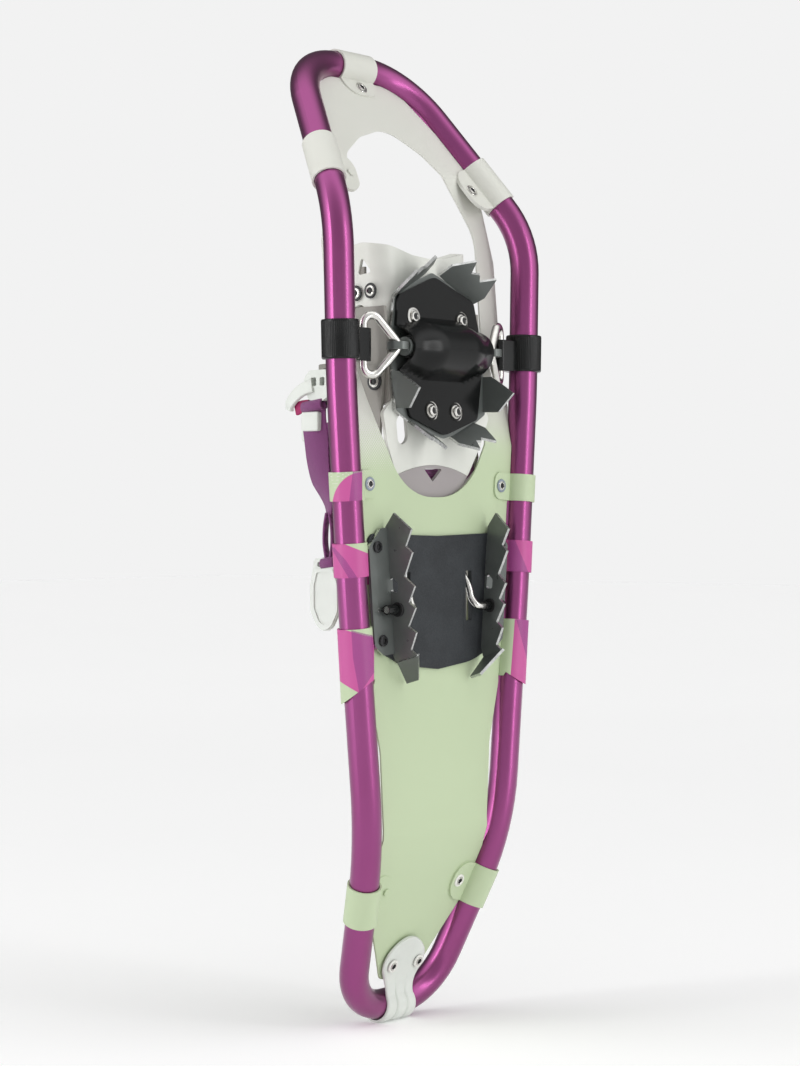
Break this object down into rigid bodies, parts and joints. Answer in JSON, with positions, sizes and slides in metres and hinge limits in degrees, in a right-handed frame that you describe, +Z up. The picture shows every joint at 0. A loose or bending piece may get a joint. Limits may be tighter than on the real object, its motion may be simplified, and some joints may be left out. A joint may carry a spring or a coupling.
{
  "type": "snowshoe",
  "caption": "Tubular-frame snowshoe with sheet deck, pivoting toe crampon binding, traction rails and flip-up heel lifter.",
  "frame": {"origin": "lowest point of the tail, on the middle plane, where the snowshoe stands on its tail end", "axes": "+Z up along the snowshoe from tail to toe, +Y towards the side the boot stands on, +X to the right seen from the spiked side"},
  "size_m": [0.2094, 0.112, 0.6396],
  "materials": {
    "anodised_tube": "satin purple anodised aluminium",
    "bare_aluminium": "bare drawn aluminium",
    "deck_sheet": "smooth coated sheet fading from off-white at the toe to sage green",
    "panel_plastic": "fine-textured charcoal plastic",
    "traction_steel": "dark grey-green coated steel with bright cut edges",
    "plate_black": "gloss black coated pressed steel",
    "bright_steel": "bright zinc-plated steel",
    "rivet_metal": "dull plated steel rivet with dished washer",
    "black_fastener": "black coated steel",
    "black_rubber": "glossy black moulded rubber with fine ribs",
    "pale_tpu": "off-white flexible moulded plastic",
    "grey_tpu": "warm grey flexible moulded plastic",
    "clip_plastic": "light grey moulded plastic",
    "webbing": "purple flat-woven webbing",
    "bearing_plastic": "black nylon"
  },
  "bodies": {
    "frame": {"frame_tube": "anodised_tube", "tail_joint_sleeve": "bare_aluminium", "deck": "deck_sheet", "deck_rivets": "rivet_metal", "heel_panel": "panel_plastic", "left_rail": "traction_steel", "right_rail": "traction_steel", "rail_screws": "black_fastener", "tail_clip": "clip_plastic", "tail_clip_rivets": "rivet_metal", "left_collar": "black_rubber", "right_collar": "black_rubber", "left_lifter_bush": "bearing_plastic", "right_lifter_bush": "bearing_plastic"},
    "ring_left": {"left_ring": "bright_steel"},
    "ring_right": {"right_ring": "bright_steel"},
    "axle": {"pivot_axle": "traction_steel"},
    "binding": {"toe_plate": "plate_black", "toe_crampon": "traction_steel", "left_bushing": "bearing_plastic", "right_bushing": "bearing_plastic", "plate_washers": "bright_steel", "plate_rivets": "bright_steel", "harness_bed": "pale_tpu", "left_wing": "pale_tpu", "right_wing": "pale_tpu", "left_side_plate": "grey_tpu", "right_side_plate": "grey_tpu", "left_wing_rivets": "black_fastener", "right_wing_rivets": "black_fastener", "toe_strap": "grey_tpu", "instep_strap": "grey_tpu", "strap_pins": "black_fastener", "instep_buckle_hinge": "black_fastener", "toe_buckle_hinge": "black_fastener"},
    "heel_band": {"heel_strap": "grey_tpu"},
    "buckle_instep": {"instep_buckle": "pale_tpu"},
    "buckle_toe": {"toe_buckle": "pale_tpu"},
    "pull_tape": {"pull_strap": "webbing"},
    "keeper": {"strap_keeper": "pale_tpu"},
    "hang_clip": {"strap_clip": "pale_tpu"},
    "lifter": {"heel_lifter": "bright_steel", "lifter_sleeves": "black_rubber", "lifter_end_caps": "black_rubber"}
  },
  "joints": [
    {"name": "binding_float", "type": "slide", "parent": "frame", "child": "axle", "axis": [0, 1, 0], "range_m": [-0.001, 0.001]},
    {"name": "left_ring_swing", "type": "hinge", "parent": "frame", "child": "ring_left", "pos_m": [-0.069, -0.039, 0.4381], "axis": [0, 0, 1], "range_deg": [-3, 3]},
    {"name": "right_ring_swing", "type": "hinge", "parent": "frame", "child": "ring_right", "pos_m": [0.069, -0.039, 0.4381], "axis": [0, 0, 1], "range_deg": [-3, 3]},
    {"name": "toe_pivot", "type": "hinge", "parent": "axle", "child": "binding", "pos_m": [0, -0.049, 0.4381], "axis": [1, 0, 0], "range_deg": [0, 75]},
    {"name": "heel_strap_swing", "type": "hinge", "parent": "binding", "child": "heel_band", "pos_m": [0, -0.0325, 0.4161], "axis": [1, 0, 0], "range_deg": [0, 35]},
    {"name": "heel_lifter_flip", "type": "hinge", "parent": "frame", "child": "lifter", "pos_m": [0, -0.049, 0.2721], "axis": [-1, 0, 0], "range_deg": [0, 95]},
    {"name": "instep_buckle_tilt", "type": "hinge", "parent": "binding", "child": "buckle_instep", "pos_m": [-0.0519, 0.005, 0.4141], "axis": [0, 0, 1], "range_deg": [0, 20]},
    {"name": "toe_buckle_tilt", "type": "hinge", "parent": "binding", "child": "buckle_toe", "pos_m": [0.0519, -0.005, 0.4791], "axis": [0, 0, -1], "range_deg": [0, 20]},
    {"name": "pull_strap_swing", "type": "hinge", "parent": "buckle_instep", "child": "pull_tape", "pos_m": [-0.0561, 0.021, 0.4001], "axis": [0, 0.9929, -0.1191], "range_deg": [-5, 35]},
    {"name": "keeper_slide", "type": "slide", "parent": "pull_tape", "child": "keeper", "axis": [0, 0.1191, 0.9929], "range_m": [-0.06, 0]},
    {"name": "clip_swing", "type": "hinge", "parent": "pull_tape", "child": "hang_clip", "pos_m": [-0.0561, 0.009, 0.3001], "axis": [0, 0.9929, -0.1191], "range_deg": [-25, 25]}
  ],
  "couplings": [
    {"joint": "left_ring_swing", "follows": "binding_float", "rad_per_m": 46.083},
    {"joint": "right_ring_swing", "follows": "binding_float", "rad_per_m": -46.083}
  ]
}
